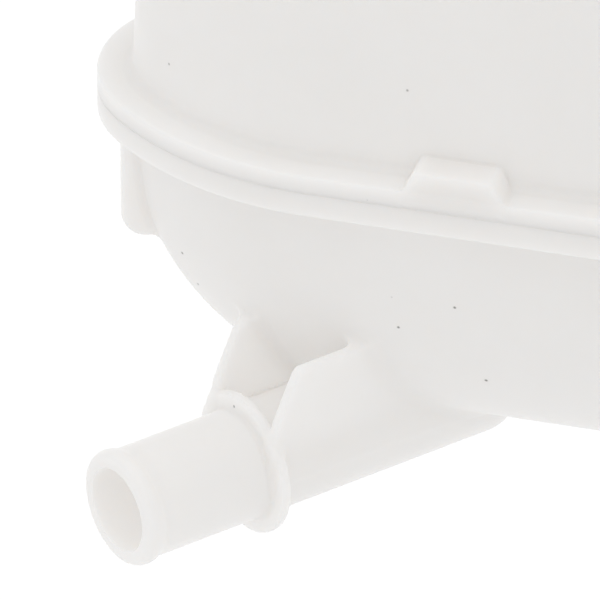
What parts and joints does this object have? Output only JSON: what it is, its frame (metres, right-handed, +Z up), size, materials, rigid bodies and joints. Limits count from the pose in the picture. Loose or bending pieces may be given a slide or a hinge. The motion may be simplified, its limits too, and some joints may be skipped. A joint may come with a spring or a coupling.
{
  "type": "coolant expansion tank",
  "caption": "Translucent two-shell coolant expansion tank with a welded rim, a slanted hose outlet under the bowl, mounting ears and a screw-on pressure cap.",
  "frame": {"origin": "midpoint between the two mounting bolts, on the weld plane between the shells", "axes": "+Z up along the bolts, X along the tank, -Y towards the front"},
  "size_m": [0.1875, 0.1148, 0.1545],
  "materials": {
    "milky_plastic": "satin translucent moulding",
    "black_plastic": "fine moulded grain",
    "white_plastic": "smooth moulding",
    "rubber": "matt",
    "steel": "zinc plated"
  },
  "bodies": {
    "tank": {"upper_shell": "milky_plastic", "lower_shell": "milky_plastic", "ear_grommet_left": "rubber", "ear_grommet_right": "rubber", "ear_bush_left": "steel", "ear_bush_right": "steel"},
    "insert": {"valve_insert": "white_plastic", "rim_gasket": "rubber", "neck_ring_upper": "rubber", "neck_ring_lower": "rubber", "spring_seat": "steel", "pressure_spring": "steel"},
    "cap": {"cap_shell": "black_plastic", "cap_retainer": "black_plastic"},
    "pressure_plate": {"pressure_valve": "white_plastic", "pressure_seal": "rubber", "vacuum_spring": "steel"},
    "vacuum_poppet": {"vacuum_valve": "white_plastic", "vacuum_seal": "rubber", "vacuum_clip": "steel"}
  },
  "joints": [
    {"name": "cap_lift", "type": "slide", "parent": "tank", "child": "insert", "axis": [0, 0, 1], "range_m": [0, 0.0091]},
    {"name": "cap_turn", "type": "hinge", "parent": "insert", "child": "cap", "pos_m": [0.028, -0.0452, 0.077], "axis": [0, 0, 1], "range_deg": [0, 810]},
    {"name": "pressure_lift", "type": "slide", "parent": "insert", "child": "pressure_plate", "axis": [0, 0, 1], "range_m": [0, 0.002], "stiffness_N_per_m": 3000, "springref_m": -0.004, "deforming": ["pressure_spring"]},
    {"name": "vacuum_drop", "type": "slide", "parent": "pressure_plate", "child": "vacuum_poppet", "axis": [0, 0, -1], "range_m": [0, 0.0015], "stiffness_N_per_m": 150, "springref_m": -0.002, "deforming": ["vacuum_spring"]}
  ],
  "couplings": [
    {"joint": "cap_lift", "follows": "cap_turn", "m_per_rad": 0.0006366}
  ]
}
